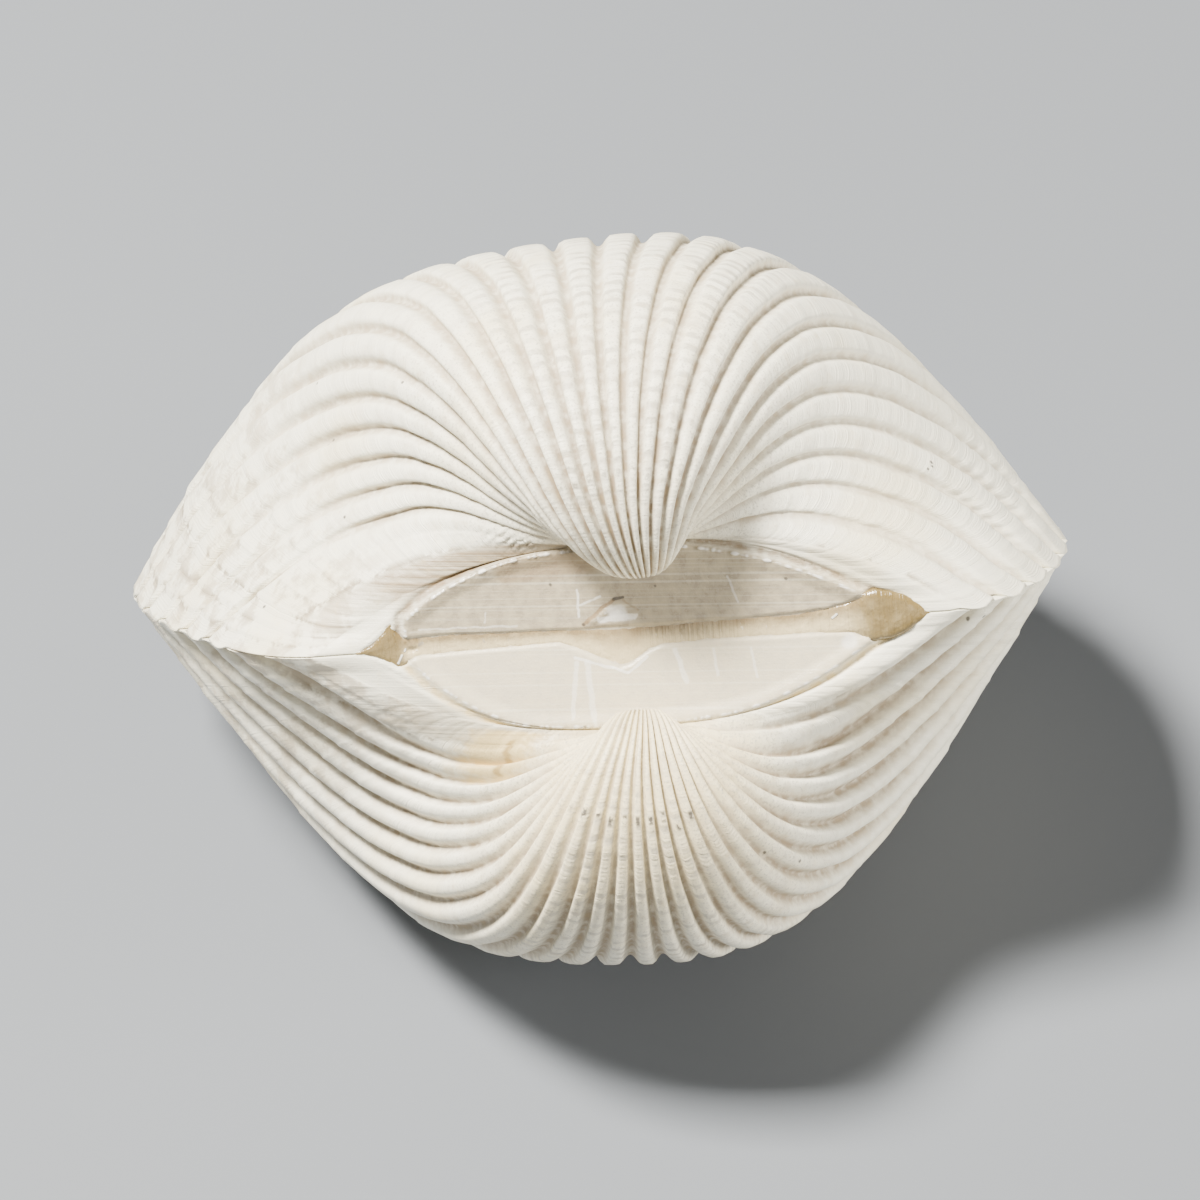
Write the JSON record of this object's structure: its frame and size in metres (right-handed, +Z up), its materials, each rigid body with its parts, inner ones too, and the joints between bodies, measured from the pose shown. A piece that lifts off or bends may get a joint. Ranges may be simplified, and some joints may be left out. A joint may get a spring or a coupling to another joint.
{
  "type": "ark clam shell",
  "caption": "Closed pair of heavy, strongly ribbed ark clam valves with curled beaks, interlocking margins and flat cardinal plates at the hinge, lying on one valve.",
  "frame": {"origin": "middle of the bounding box's underside, on the ground that the right valve lies on", "axes": "+X from the shell's rear end to its front end, -Y the side that the hinge faces, +Z up"},
  "size_m": [0.0976, 0.0783, 0.0738],
  "materials": {
    "shell": "cleaned white shell, silky, glossier on the cardinal plates, grey-brown in the grooves between the ribs",
    "dried_ligament": "dried horny film, cream to amber, glossy and slightly see-through"
  },
  "bodies": {
    "root": {"left_valve": "shell", "right_valve": "shell", "ligament": "dried_ligament"}
  },
  "joints": []
}
